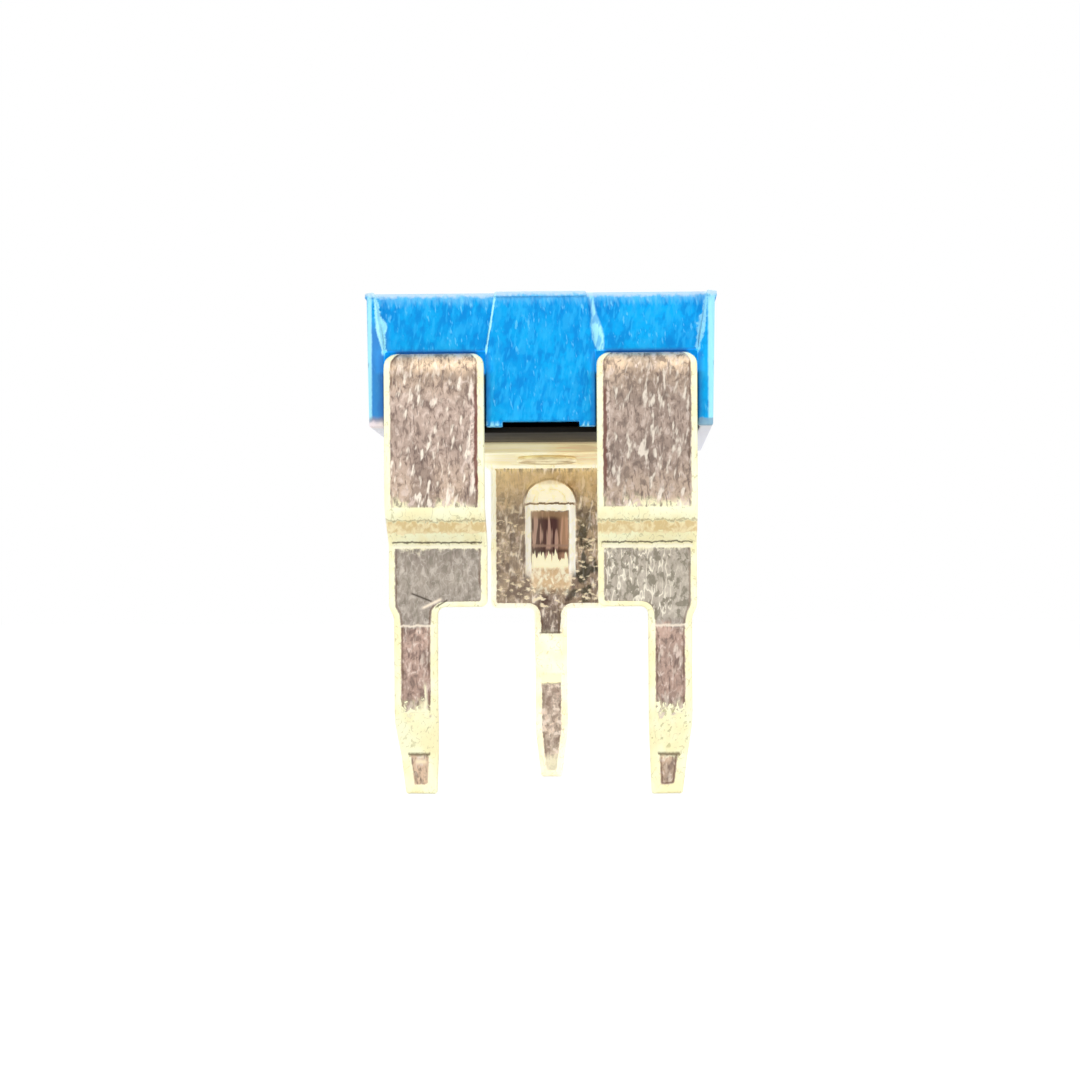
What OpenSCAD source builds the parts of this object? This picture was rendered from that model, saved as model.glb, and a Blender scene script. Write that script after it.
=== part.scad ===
// Carbon trimmer potentiometer for a circuit board, adjusted from the top.
// Millimetres. +Z is up, the pin tips are at Z = 0, and the rotor turns about the Z axis.
// The two end terminals are on the front, at -Y. The wiper terminal is under the rear half.

/* [Board pins] */
// Centre distance of the two front pins
pin_pitch = 5; // [4.2:0.1:5.9]
// Distance from the front pins back to the rear pin
row_pitch = 5; // [4.2:0.1:5.9]
// Distance from the rotor's axis forward to the front pins
front_row = 2.85; // [2.4:0.05:3.3]
// Length of the pins below their shoulders, which sit on the board
pin_len = 3.7; // [3.1:0.1:4.3]
// Width of a front pin
front_pin_w = 0.86; // [0.6:0.02:1]
// Width of the rear pin
rear_pin_w = 0.7; // [0.5:0.05:0.9]
// How much narrower a pin is at its tip
tip_narrowing = 0.25; // [0.15:0.05:0.35]
// How far the tip of a front pin is set towards the middle
tip_shift = 0.07; // [0:0.01:0.1]
// Length of a front pin's tapered end
front_taper = 1.45; // [1.1:0.05:1.8]
// Length of the rear pin's tapered end
rear_taper = 1; // [0.7:0.05:1.3]
// How far a front pin steps back above its tip
front_kink = 0.45; // [0.2:0.05:0.6]
// How far the rear pin stands out behind at its kink
rear_kink = 0.45; // [0.2:0.05:0.6]
// How far the rear pin comes forward again at its tip
rear_return = 0.2; // [0:0.05:0.4]

/* [Terminals] */
// Thickness of the tinned sheet
sheet_t = 0.25; // [0.2:0.01:0.3]
// Radius of the bends, at the middle of the sheet
bend_r = 0.27; // [0.22:0.01:0.32]
// Width of a front terminal
front_w = 1.94; // [1.6:0.02:2.2]
// Step between a front terminal's outer edge and its pin
outer_step = 0.1; // [0.05:0.01:0.12]
// Width of the rear terminal's upright plate
rear_w = 2.6; // [2.2:0.05:3]
// How much further the flat part of the rear terminal stands out on each side
rear_ear = 0.2; // [0.1:0.05:0.3]
// How far the flat part of the rear terminal runs in front of the rotor's axis
rear_tab = 0.95; // [0.85:0.05:1.2]
// Height of a front terminal's lower plate above its shoulder
lower_plate_h = 1.25; // [1:0.05:1.5]
// Height of the slanted step between the upper and lower plates
joggle_h = 0.65; // [0.55:0.05:0.8]
// How far the upper plate leans in towards its lower end
plate_lean = 0.15; // [0:0.01:0.18]
// Radius of the upper corners, where a terminal comes out of the housing
corner_r = 0.16; // [0.1:0.01:0.2]
// Fillet between a shoulder and its pin
shoulder_r = 0.15; // [0.1:0.01:0.18]
// Width of the stiffening bead on the rear terminal
bead_w = 1.15; // [1:0.05:1.4]
// Length of the stiffening bead
bead_l = 2.5; // [2.1:0.05:2.7]
// Height of the bead over the plate
bead_h = 0.25; // [0.15:0.05:0.3]
// Wall left round the hollow behind the bead
bead_skin = 0.15; // [0.12:0.01:0.18]

/* [Substrate] */
// Thickness of the phenolic board that carries the carbon track
substrate_t = 1.25; // [1:0.05:1.4]
// Height of the substrate's underside above the pin shoulders
standoff = 3.4; // [2.9:0.1:4]
// Thickness of the printed track and of its silver ends
film_t = 0.03; // [0.02:0.01:0.04]
// Mean radius of the carbon track
track_r = 2.05; // [1.9:0.05:2.3]
// Width of the carbon track
track_w = 0.9; // [0.75:0.05:1]
// Half of the angle that the track covers
track_half_angle = 127; // [124:1:132]

/* [Housing] */
// Thickness of the housing's side walls
wall = 0.35; // [0.3:0.05:0.5]
// Thickness of the housing's roof
roof_t = 0.45; // [0.35:0.05:0.55]
// How far the lip round the top edge stands out
lip_w = 0.04; // [0.02:0.01:0.06]
// Height of that lip
lip_h = 0.1; // [0.06:0.01:0.15]
// How far each side leans in from the lip down to the lower edge
draft = 0.05; // [0.02:0.01:0.08]
// How far the housing's lower edge stands above the substrate's underside
skirt_rise = 0.1; // [0:0.01:0.2]
// Distance from the rotor's axis back to the housing's rear face
rear_face = 4; // [3.9:0.05:4.8]
// Chamfer on the two front corners
front_chamfer = 0.15; // [0.1:0.01:0.18]
// Chamfer on the two rear corners
rear_chamfer = 0.9; // [0.7:0.05:0.95]
// Depth of the tapered recess above each front terminal, from the lip
recess_depth = 0.24; // [0.16:0.02:0.26]
// How much wider the recess is at the top, on each side
recess_flare = 0.19; // [0.1:0.01:0.22]
// Width of the shallow notch in the lower edge of the front wall
notch_w = 1.5; // [1.2:0.05:1.8]
// Height of that notch
notch_h = 0.1; // [0.03:0.01:0.12]
// Radius of the two posts that are staked through the substrate
post_r = 0.34; // [0.28:0.01:0.4]
// Radius of the boss round each post
boss_r = 0.45; // [0.42:0.01:0.5]
// Radius of the staked heads
stake_r = 0.52; // [0.46:0.01:0.55]
// Depth of the staked heads in the substrate
stake_h = 0.22; // [0.18:0.01:0.26]

/* [Rotor] */
// Radius of the rotor's face in the roof opening
rotor_r = 2.2; // [1.9:0.05:2.3]
// Width of the flange under the roof
flange_w = 0.35; // [0.3:0.05:0.4]
// Thickness of the flange
flange_t = 0.4; // [0.35:0.05:0.5]
// How far the stop lug stands out from the flange
lug_w = 0.3; // [0.25:0.05:0.35]
// Half of the lug's angle
lug_half_angle = 12; // [10:1:14]
// Half of the angle that the rotor can turn through, to either side
turn_half_angle = 117.5; // [112:0.5:119]
// Radius of the rotor's pivot
pivot_r = 0.35; // [0.28:0.01:0.42]
// Height of the space between the substrate and the rotor's flange
wiper_space = 0.57; // [0.53:0.01:0.7]
// Length of the cross slot
slot_l = 3; // [2.5:0.1:3.4]
// Width of the cross slot
slot_w = 0.6; // [0.5:0.05:0.7]
// Depth of the cross slot
slot_depth = 0.6; // [0.5:0.05:0.7]
// Width of the arrow head on the slot's pointing arm
arrow_w = 1.2; // [0.9:0.1:1.4]
// Length of that arrow head
arrow_l = 0.8; // [0.6:0.05:0.9]

/* [Wiper] */
// Thickness of the spring sheet
wiper_t = 0.1; // [0.08:0.01:0.12]
// Outer radius of the wiper's flat ring
ring_r = 1.5; // [1.4:0.02:1.55]
// Width of each of the three fingers that reach the track
finger_w = 0.32; // [0.24:0.02:0.36]
// Gap between two fingers
finger_gap = 0.1; // [0.08:0.01:0.14]
// Length of the flat foot of a finger on the track
foot_l = 0.2; // [0.15:0.01:0.25]
// Width of the inner tongue, which rubs on the centre eyelet
tongue_w = 0.6; // [0.5:0.02:0.7]
// Radius of the studs that hold the wiper
stud_r = 0.2; // [0.16:0.01:0.22]
// Overhang and height of the studs' melted heads
stud_head = 0.1; // [0.06:0.01:0.12]
// Width left of the ring in front of the tongue's window
rim_w = 0.2; // [0.15:0.01:0.25]

/* [Eyelets] */
// Wall of the centre eyelet, whose bore the pivot runs in
eyelet_wall = 0.14; // [0.1:0.01:0.16]
// Width of the eyelet's upper flange, which the wiper rubs on
eyelet_top_w = 0.6; // [0.45:0.05:0.65]
// Width of the eyelet's rolled lower flange
eyelet_low_w = 0.1; // [0.08:0.01:0.15]
// Radius of the two rivets that hold the front terminals
rivet_r = 0.35; // [0.3:0.01:0.4]
// Radius of the hole through each rivet
rivet_bore = 0.2; // [0.14:0.01:0.22]
// Radius of the rivets' heads
rivet_head_r = 0.58; // [0.5:0.01:0.62]
// Thickness of every eyelet and rivet flange
flange_sheet = 0.12; // [0.1:0.01:0.14]

/* [Hidden] */
$fn = 96;

// Gap that the fixed pieces are put together with
fit = 0.02;
// Gap round the substrate in the housing, and over the terminals
play = 0.05;
// Gap beside a terminal in its window
slide = 0.02;
// Radial gap between the rotor's pivot and the bore that it runs in
running = 0.03;
// Gap between the moving contacts and what they rub on
contact_gap = 0.02;
// How far a cutting shape runs past the face that it cuts
over = 0.5;
// How far a rib, post or stud runs into the wall that carries it
root = 0.08;
// Half of the angle of the silver print at each end of the track
end_half_angle = 15;
// Angle left between the lug and its stop at either end of the turn
stop_slack = 0.5;
// How far a front pin leans back between its shoulder and its kink
pin_lean = 0.05;
// Bare border beside the silver print under a front terminal
print_border = 0.1;
// Heights of a front pin's bends: below its shoulder, then above its tip
front_bends = [0.4, 1.68, 0.8];
// Heights of the rear pin's bends below its shoulder
rear_bends = [0.5, 1.6];

// Heights, from the pin tips up
seat_z = pin_len;
substrate_z = seat_z + standoff;
deck_z = substrate_z + substrate_t;
tab_z = deck_z + film_t;
flange_z = deck_z + wiper_space;
ceiling_z = flange_z + flange_t + play;
top_z = ceiling_z + roof_t;
skirt_z = substrate_z + skirt_rise;
face_z = top_z - play;
window_z = tab_z + sheet_t + play;

// Places across the part, from the axis to the right
pin_x = pin_pitch / 2;
outer_x = pin_x + front_pin_w / 2 + outer_step;
inner_x = outer_x - front_w;
cavity_x = outer_x + play;
side_x = cavity_x + wall;
rivet_x = (inner_x + outer_x) / 2;
tab_inner_x = inner_x + corner_r;
tab_outer_x = outer_x - corner_r;

// Radii round the axis
flange_r = rotor_r + flange_w;
lug_r = flange_r + lug_w;
eyelet_bore = pivot_r + running;
eyelet_r = eyelet_bore + eyelet_wall;
stud_at = (pivot_r + play + ring_r) / 2;
sweep_r = track_r + 1.5 * foot_l;
track_in = track_r - track_w / 2;
track_out = track_r + track_w / 2;

// Places from the axis forward and back
tab_end = sqrt(pow(sweep_r + play, 2) - pow(tab_inner_x, 2));
rivet_y = tab_end + rivet_head_r + play;
cavity_front = rivet_y + rivet_head_r + 2 * play;
front_face = cavity_front + wall;
cavity_rear = rear_face - wall;
rear_row = row_pitch - front_row;

// Two posts under the roof, behind the circle that the lug sweeps
post_x = cavity_x - stake_r - 2 * play;
post_y = sqrt(pow(lug_r + boss_r + 2 * play, 2) - pow(post_x, 2));

// Half of the angle that the stop under the roof covers, about the front
stop_half_angle = 180 - turn_half_angle - lug_half_angle - stop_slack;

// Corner points of the plan outline: half width, front, rear and the two chamfers
function plan(w, front, rear, cut_front, cut_rear) = concat(
    cut_front > 0
        ? [[-w, -front + cut_front], [-w + cut_front, -front],
           [w - cut_front, -front], [w, -front + cut_front]]
        : [[-w, -front], [w, -front]],
    [[w, rear - cut_rear], [w - cut_rear, rear], [-w + cut_rear, rear], [-w, rear - cut_rear]]
);

// A chamfer on the inside of a wall is shorter than the one outside by this much
function inset_cut(cut, depth) = max(cut - depth * (2 - sqrt(2)), 0);

// Unit vector from p to q
function toward(p, q) = (q - p) / norm(q - p);

// Left-hand normal of a vector
function left_of(v) = [-v[1], v[0]];

// Points of the arc of radius r that rounds corner b of the path a, b, c
function round_corner(a, b, c, r) =
    let (u = toward(b, a), v = toward(b, c), half = acos(u * v) / 2)
    let (middle = b + (u + v) / norm(u + v) * r / sin(half))
    let (first = b + u * r / tan(half) - middle, last = b + v * r / tan(half) - middle)
    let (turn = 180 - 2 * half, steps = max(2, ceil(turn / 10)))
    let (way = first[0] * last[1] - first[1] * last[0] > 0 ? 1 : -1)
    let (start = atan2(first[1], first[0]))
    [for (i = [0:steps]) middle + r * [cos(start + way * turn * i / steps),
                                       sin(start + way * turn * i / steps)]];

// The path with every inner corner rounded to radius r
function round_path(path, r) = [
    for (i = [0:len(path) - 1])
        each i == 0 || i == len(path) - 1
            ? [path[i]]
            : round_corner(path[i - 1], path[i], path[i + 1], r)
];

// Offset of point i of a path to its left, kept at distance d from both its neighbours' lines
function beside(path, i, d) =
    let (before = i > 0 ? toward(path[i - 1], path[i]) : toward(path[0], path[1]))
    let (after = i < len(path) - 1 ? toward(path[i], path[i + 1]) : before)
    let (n = left_of(before + after), m = n / norm(n))
    path[i] + m * d / (m * left_of(before));

// Outline of a strip of thickness t along a path
function strip(path, t) = concat(
    [for (i = [0:len(path) - 1]) beside(path, i, t / 2)],
    [for (i = [len(path) - 1:-1:0]) beside(path, i, -t / 2)]
);

// A sheet-metal side profile, drawn as [Y, Z], pulled from x0 to x1 along X
module pull_x(x0, x1) {
    translate([x0, 0, 0])
        rotate([90, 0, 90])
            linear_extrude(x1 - x0)
                children();
}

// A front outline, drawn as [X, Z], pulled from y0 to y1 along Y
module pull_y(y0, y1) {
    translate([0, y1, 0])
        rotate([90, 0, 0])
            linear_extrude(y1 - y0)
                children();
}

// A plan outline pulled from z0 to z1 along Z
module pull_z(z0, z1) {
    translate([0, 0, z0])
        linear_extrude(z1 - z0)
            children();
}

// Wedge in plan, of a half angle about the direction given, as long as reach
module wedge(half_angle, direction, reach) {
    far = reach / cos(half_angle / 4);
    edge = [for (k = [-2:2]) direction + k * half_angle / 2];
    polygon(concat([[0, 0]], [for (a = edge) far * [cos(a), sin(a)]]));
}

// Flat ring with the inner radius r_in and outer radius r_out
module ring(r_in, r_out) {
    difference() {
        circle(r_out);
        circle(r_in);
    }
}

// Rivet with a bore: a shank that holds what lies between z0 and z1, and a flange at each end
module hollow_rivet(r, bore, z0, z1, low_r, top_r) {
    difference() {
        union() {
            pull_z(z0 - flange_sheet, z1 + flange_sheet)
                circle(r);
            pull_z(z0 - flange_sheet, z0)
                circle(low_r);
            pull_z(z1, z1 + flange_sheet)
                circle(top_r);
        }
        pull_z(z0 - over, z1 + over)
            circle(bore);
    }
}

// Notch that a front terminal passes through, with the tapered recess above it
module terminal_window() {
    pull_y(-front_face - over, -cavity_front + over)
        polygon([[inner_x - slide, skirt_z - over], [outer_x + slide, skirt_z - over],
                 [outer_x + slide, window_z], [inner_x - slide, window_z]]);
    pull_y(-front_face - over, -front_face + recess_depth)
        polygon([[inner_x - slide, window_z - play], [outer_x + slide, window_z - play],
                 [outer_x + slide + recess_flare, top_z + play],
                 [inner_x - slide - recess_flare, top_z + play]]);
}

// Stop for the rotor's lug, under the roof at the front
module rotor_stop() {
    pull_z(flange_z - play, ceiling_z + root)
        difference() {
            intersection() {
                polygon(plan(cavity_x + root, cavity_front + root, cavity_rear, 0,
                             inset_cut(rear_chamfer, wall)));
                wedge(stop_half_angle, -90, 2 * cavity_front);
            }
            circle(flange_r + play);
        }
}

// One post with its boss above the substrate and its staked head below
module staked_post(side) {
    translate([side * post_x, post_y, 0]) {
        pull_z(deck_z, ceiling_z + root)
            circle(boss_r);
        pull_z(substrate_z, ceiling_z + root)
            circle(post_r);
        pull_z(substrate_z, substrate_z + stake_h)
            circle(stake_r);
    }
}

// Outline of the cover seen from one side, between low and high: draft below, lip on top
module drafted(low, high) {
    polygon([[low + lip_w + draft, skirt_z], [high - lip_w - draft, skirt_z],
             [high - lip_w, top_z - lip_h], [high, top_z - lip_h], [high, top_z],
             [low, top_z], [low, top_z - lip_h], [low + lip_w, top_z - lip_h]]);
}

// Outer form of the cover
module cover_block() {
    intersection() {
        pull_z(skirt_z, top_z)
            polygon(plan(side_x, front_face, rear_face, front_chamfer, rear_chamfer));
        pull_y(-front_face, rear_face)
            drafted(-side_x, side_x);
        pull_x(-side_x, side_x)
            drafted(-front_face, rear_face);
    }
}

// Blue moulded cover, open below, with a round opening for the rotor in its roof
module housing() {
    color([0.02, 0.47, 0.86]) {
        difference() {
            cover_block();
            pull_z(skirt_z - over, ceiling_z)
                polygon(plan(cavity_x, cavity_front, cavity_rear, 0,
                             inset_cut(rear_chamfer, wall)));
            pull_z(ceiling_z - over, top_z + over)
                circle(rotor_r + play);
            terminal_window();
            mirror([1, 0, 0])
                terminal_window();
            pull_y(-front_face - over, -cavity_front + over)
                polygon([[-notch_w / 2, skirt_z - over], [notch_w / 2, skirt_z - over],
                         [notch_w / 2, skirt_z + notch_h], [-notch_w / 2, skirt_z + notch_h]]);
        }
        rotor_stop();
        for (side = [-1, 1])
            staked_post(side);
    }
}

// Outline of the cross slot, with an arrow head on the arm that points where the wiper stands
module slot_outline() {
    tip = slot_l / 2 + slot_w / 2;
    square([slot_l, slot_w], center = true);
    translate([-slot_w / 2, -slot_l / 2])
        square([slot_w, slot_l / 2 + tip - arrow_l]);
    polygon([[-arrow_w / 2, tip - arrow_l], [arrow_w / 2, tip - arrow_l], [0, tip]]);
}

// Stud under the dial that goes through the wiper and is melted over it
module wiper_stud(side) {
    translate([side * stud_at, 0, 0]) {
        pull_z(flange_z - wiper_t - stud_head, flange_z + root)
            circle(stud_r);
        pull_z(flange_z - wiper_t - stud_head, flange_z - wiper_t)
            circle(stud_r + stud_head);
    }
}

// White dial with its flange, stop lug, pivot and the two studs that hold the wiper
module rotor() {
    color([0.93, 0.92, 0.88])
        difference() {
            union() {
                pull_z(flange_z, flange_z + flange_t)
                    circle(flange_r);
                pull_z(flange_z, face_z)
                    circle(rotor_r);
                pull_z(flange_z, flange_z + flange_t)
                    intersection() {
                        ring(flange_r - root, lug_r);
                        wedge(lug_half_angle, 90, 2 * lug_r);
                    }
                pull_z(substrate_z - sheet_t - play, flange_z + root)
                    circle(pivot_r);
                for (side = [-1, 1])
                    wiper_stud(side);
            }
            pull_z(face_z - slot_depth, face_z + over)
                slot_outline();
        }
}

// Side profile of a sprung arm: flat at its root, down a slope, and flat at its foot
module arm_profile(start, knee, foot, rub_z) {
    high = flange_z - wiper_t / 2;
    low = rub_z + contact_gap + wiper_t / 2;
    way = foot > knee ? 1 : -1;
    polygon(strip([[start, high], [knee, high], [foot - way * foot_l / 2, low],
                   [foot + way * foot_l / 2, low]], wiper_t));
}

// Three fingers side by side, from the ring out to the carbon track
module wiper_fingers() {
    for (k = [-1:1])
        pull_x(k * (finger_w + finger_gap) - finger_w / 2, k * (finger_w + finger_gap) + finger_w / 2)
            arm_profile(stud_at, ring_r, track_r, tab_z);
}

// Tongue inside the ring, from its front edge back to the flange of the centre eyelet
module wiper_tongue() {
    foot = -(eyelet_r + foot_l / 2);
    pull_x(-tongue_w / 2, tongue_w / 2)
        arm_profile(-ring_r + rim_w / 2, -ring_r + rim_w, foot, deck_z + flange_sheet);
}

// Stamped bronze spring under the rotor, from the centre eyelet to the track
module wiper() {
    color([0.80, 0.62, 0.32]) {
        pull_z(flange_z - wiper_t, flange_z)
            difference() {
                ring(pivot_r + play, ring_r);
                for (side = [-1, 1])
                    translate([side * stud_at, 0])
                        circle(stud_r + fit / 2);
                translate([-tongue_w / 2 - play, -ring_r + rim_w])
                    square([tongue_w + 2 * play, ring_r - rim_w]);
            }
        wiper_fingers();
        wiper_tongue();
    }
}

// Dark phenolic board with its holes, and counterbores for the staked heads
module substrate() {
    color([0.10, 0.08, 0.06])
        difference() {
            pull_z(substrate_z, deck_z)
                polygon(plan(cavity_x - play, cavity_front - play, cavity_rear - play, 0,
                             inset_cut(rear_chamfer, wall + play)));
            pull_z(substrate_z - over, deck_z + over)
                circle(eyelet_r + fit);
            for (side = [-1, 1])
                translate([side * rivet_x, -rivet_y, 0])
                    pull_z(substrate_z - over, deck_z + over)
                        circle(rivet_r + fit);
            for (side = [-1, 1])
                translate([side * post_x, post_y, 0]) {
                    pull_z(substrate_z - over, deck_z + over)
                        circle(post_r + fit);
                    pull_z(substrate_z - over, substrate_z + stake_h)
                        circle(stake_r + fit);
                }
        }
}

// Carbon film, printed as a horseshoe that is open at the front
module resistive_track() {
    color([0.04, 0.04, 0.045])
        pull_z(deck_z, tab_z)
            difference() {
                ring(track_in, track_out);
                wedge(180 - track_half_angle, -90, 2 * track_out);
            }
}

// Silver print from one end of the track to under its terminal, on the right
module electrode() {
    color([0.78, 0.78, 0.76])
        pull_z(deck_z, tab_z)
            difference() {
                union() {
                    intersection() {
                        ring(track_in, track_out);
                        wedge(end_half_angle, 90 - track_half_angle - end_half_angle, 2 * track_out);
                    }
                    translate([inner_x + print_border, -rivet_y - rivet_head_r])
                        square([front_w - 2 * print_border,
                                rivet_y + rivet_head_r - tab_end + play]);
                }
                translate([rivet_x, -rivet_y])
                    circle(rivet_r + fit);
            }
}

module electrode_right() {
    electrode();
}

module electrode_left() {
    mirror([1, 0, 0])
        electrode();
}

// Drawn brass eyelet at the centre: it holds the wiper terminal and is the rotor's bearing
module centre_eyelet() {
    color([0.84, 0.80, 0.70])
        hollow_rivet(eyelet_r, eyelet_bore, substrate_z - sheet_t, deck_z,
                     eyelet_r + eyelet_low_w, eyelet_r + eyelet_top_w);
}

// Rivet through a front terminal and the substrate
module rivet(side) {
    color([0.84, 0.80, 0.70])
        translate([side * rivet_x, -rivet_y, 0])
            hollow_rivet(rivet_r, rivet_bore, substrate_z, tab_z + sheet_t,
                         rivet_head_r, rivet_head_r);
}

module rivet_left() {
    rivet(-1);
}

module rivet_right() {
    rivet(1);
}

// Middle line of a front terminal in side view, from the tab's inner end to the pin tip
front_path = [
    [-tab_end, tab_z + sheet_t / 2],
    [-front_face - sheet_t / 2, tab_z + sheet_t / 2],
    [-front_face - sheet_t / 2 + plate_lean, seat_z + lower_plate_h + joggle_h],
    [-front_row, seat_z + lower_plate_h],
    [-front_row, seat_z - front_bends[0]],
    [-front_row + pin_lean, front_bends[1]],
    [-front_row + front_kink, front_bends[2]],
    [-front_row + front_kink, 0],
];

// Middle line of the rear terminal in side view, from its front end to the pin tip
rear_path = [
    [-rear_tab, substrate_z - sheet_t / 2],
    [rear_row, substrate_z - sheet_t / 2],
    [rear_row, seat_z - rear_bends[0]],
    [rear_row + rear_kink, seat_z - rear_bends[1]],
    [rear_row + rear_kink - rear_return, 0],
];

// Right-hand side of a pin of width w, about X = 0, from its fillet down to a tip set to the right
function pin_side(w, taper, shift = 0) = concat(
    [for (a = [0:15:90]) [w / 2 + shoulder_r - shoulder_r * sin(a),
                          seat_z - shoulder_r + shoulder_r * cos(a)]],
    [[w / 2, taper], [w / 2 - tip_narrowing / 2 + shift, 0]]
);

// Points mirrored in X = 0 and taken in the other order
function mirrored(points) = [for (i = [len(points) - 1:-1:0]) [-points[i][0], points[i][1]]];

// Front outline of a front terminal, on the right: rounded corners, plate, shoulder and pin
module front_outline() {
    corner_z = tab_z + sheet_t - corner_r;
    w = front_pin_w / 2;
    inner = [for (p = pin_side(front_pin_w, front_taper, tip_shift)) [pin_x - p[0], p[1]]];
    outer = [[pin_x + w - tip_narrowing / 2 - tip_shift, 0], [pin_x + w, front_taper],
             [pin_x + w, seat_z - 2 * outer_step]];
    polygon(concat(
        [[outer_x, seat_z]],
        [for (a = [0:15:90]) [tab_outer_x + corner_r * cos(a), corner_z + corner_r * sin(a)]],
        [for (a = [90:15:180]) [tab_inner_x + corner_r * cos(a), corner_z + corner_r * sin(a)]],
        [[inner_x, seat_z]],
        inner, outer
    ));
}

// Tinned terminal that wraps over the substrate and down the front, on the right
module terminal() {
    color([0.78, 0.72, 0.64])
        difference() {
            intersection() {
                pull_x(inner_x, outer_x)
                    polygon(strip(round_path(front_path, bend_r), sheet_t));
                pull_y(-front_face - 2 * sheet_t, 0)
                    front_outline();
            }
            translate([rivet_x, -rivet_y, 0])
                pull_z(tab_z - over, tab_z + over)
                    circle(rivet_r + fit);
            for (x = [inner_x - over, tab_outer_x])
                translate([x, -front_face, tab_z - play])
                    cube([corner_r + over, front_face, 2 * over]);
        }
}

module terminal_right() {
    terminal();
}

module terminal_left() {
    mirror([1, 0, 0])
        terminal();
}

// Front outline of the rear terminal: ears beside the flat part, plate, shoulders and pin
module rear_outline() {
    plate = rear_w / 2;
    ear_z = substrate_z - sheet_t - bend_r;
    half = concat(
        [[plate + rear_ear, substrate_z + play], [plate + rear_ear, ear_z + rear_ear],
         [plate, ear_z], [plate, seat_z]],
        pin_side(rear_pin_w, rear_taper)
    );
    polygon(concat(half, mirrored(half)));
}

// Pressed bead on the front of the rear terminal, made smaller by inset for the hollow behind it
module bead(inset) {
    face = rear_row - sheet_t / 2;
    back = rear_row + sheet_t / 2 + inset;
    front = face - bead_h + inset;
    low = seat_z + bead_h + inset;
    high = seat_z + bead_h + bead_l - inset;
    half = bead_w / 2 - inset;
    flank = bead_h / 2;
    end = 2 * bead_h;
    intersection() {
        pull_x(-half, half)
            polygon([[back, low], [face, low], [front, low + end],
                     [front, high - end], [face, high], [back, high]]);
        pull_z(low - over, high + over)
            polygon([[-half, back], [-half, face], [-half + flank, front],
                     [half - flank, front], [half, face], [half, back]]);
    }
}

// Tinned terminal under the substrate, riveted by the centre eyelet
module terminal_centre() {
    color([0.78, 0.72, 0.64])
        difference() {
            union() {
                intersection() {
                    pull_x(-rear_w, rear_w)
                        polygon(strip(round_path(rear_path, bend_r), sheet_t));
                    pull_y(-front_face, rear_face)
                        rear_outline();
                }
                bead(0);
            }
            pull_z(substrate_z - sheet_t - over, substrate_z + over)
                circle(eyelet_r + fit);
            bead(bead_skin);
        }
}

housing();
rotor();
wiper();
substrate();
resistive_track();
electrode_left();
electrode_right();
centre_eyelet();
rivet_left();
rivet_right();
terminal_left();
terminal_right();
terminal_centre();
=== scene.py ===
import math
import bmesh
import bpy
import numpy as np
from mathutils import Matrix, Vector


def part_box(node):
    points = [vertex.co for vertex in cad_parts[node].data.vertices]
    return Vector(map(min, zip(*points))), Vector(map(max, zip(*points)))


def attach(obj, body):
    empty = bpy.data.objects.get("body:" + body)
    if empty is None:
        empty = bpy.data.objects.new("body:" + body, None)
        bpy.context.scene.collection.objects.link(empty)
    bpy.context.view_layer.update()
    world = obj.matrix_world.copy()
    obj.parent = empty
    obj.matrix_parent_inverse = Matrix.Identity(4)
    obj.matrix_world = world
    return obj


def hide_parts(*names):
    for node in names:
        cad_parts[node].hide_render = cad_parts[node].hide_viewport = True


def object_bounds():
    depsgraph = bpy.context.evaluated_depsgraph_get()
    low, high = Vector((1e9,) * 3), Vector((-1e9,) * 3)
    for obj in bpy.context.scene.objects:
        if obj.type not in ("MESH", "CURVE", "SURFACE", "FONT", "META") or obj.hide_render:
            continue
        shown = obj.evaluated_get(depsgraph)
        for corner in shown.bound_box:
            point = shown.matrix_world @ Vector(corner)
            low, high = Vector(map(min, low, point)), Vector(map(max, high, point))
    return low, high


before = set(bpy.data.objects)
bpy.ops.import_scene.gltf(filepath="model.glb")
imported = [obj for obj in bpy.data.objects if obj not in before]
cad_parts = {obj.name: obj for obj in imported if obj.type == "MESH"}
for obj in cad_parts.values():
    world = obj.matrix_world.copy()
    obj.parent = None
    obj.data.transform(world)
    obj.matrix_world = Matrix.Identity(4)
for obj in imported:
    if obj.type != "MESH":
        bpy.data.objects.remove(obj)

cad_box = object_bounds()
MM = 0.001

# The board that everything is fixed to: a thick piece of dark paper and phenolic resin.
# It is punched from sheet, so its faces are smooth and its edges show the layers of paper.
# The cover sits over it like a lid, and leaves its underside and a thin band of its edge bare.
BOARD_EDGE = 0.03 * MM
SAME_POINT = 0.0005 * MM
FLAT_ANGLE = math.radians(0.6)
SHARP_ANGLE = math.radians(28)


def tint(red, green, blue):
    """A screen colour from 0 to 255 as the linear colour of the same look, with full alpha."""
    share = np.array([red, green, blue]) / 255
    linear = np.where(share > 0.04045, ((share + 0.055) / 1.055) ** 2.4, share / 12.92)
    return (*linear.tolist(), 1.0)


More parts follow.
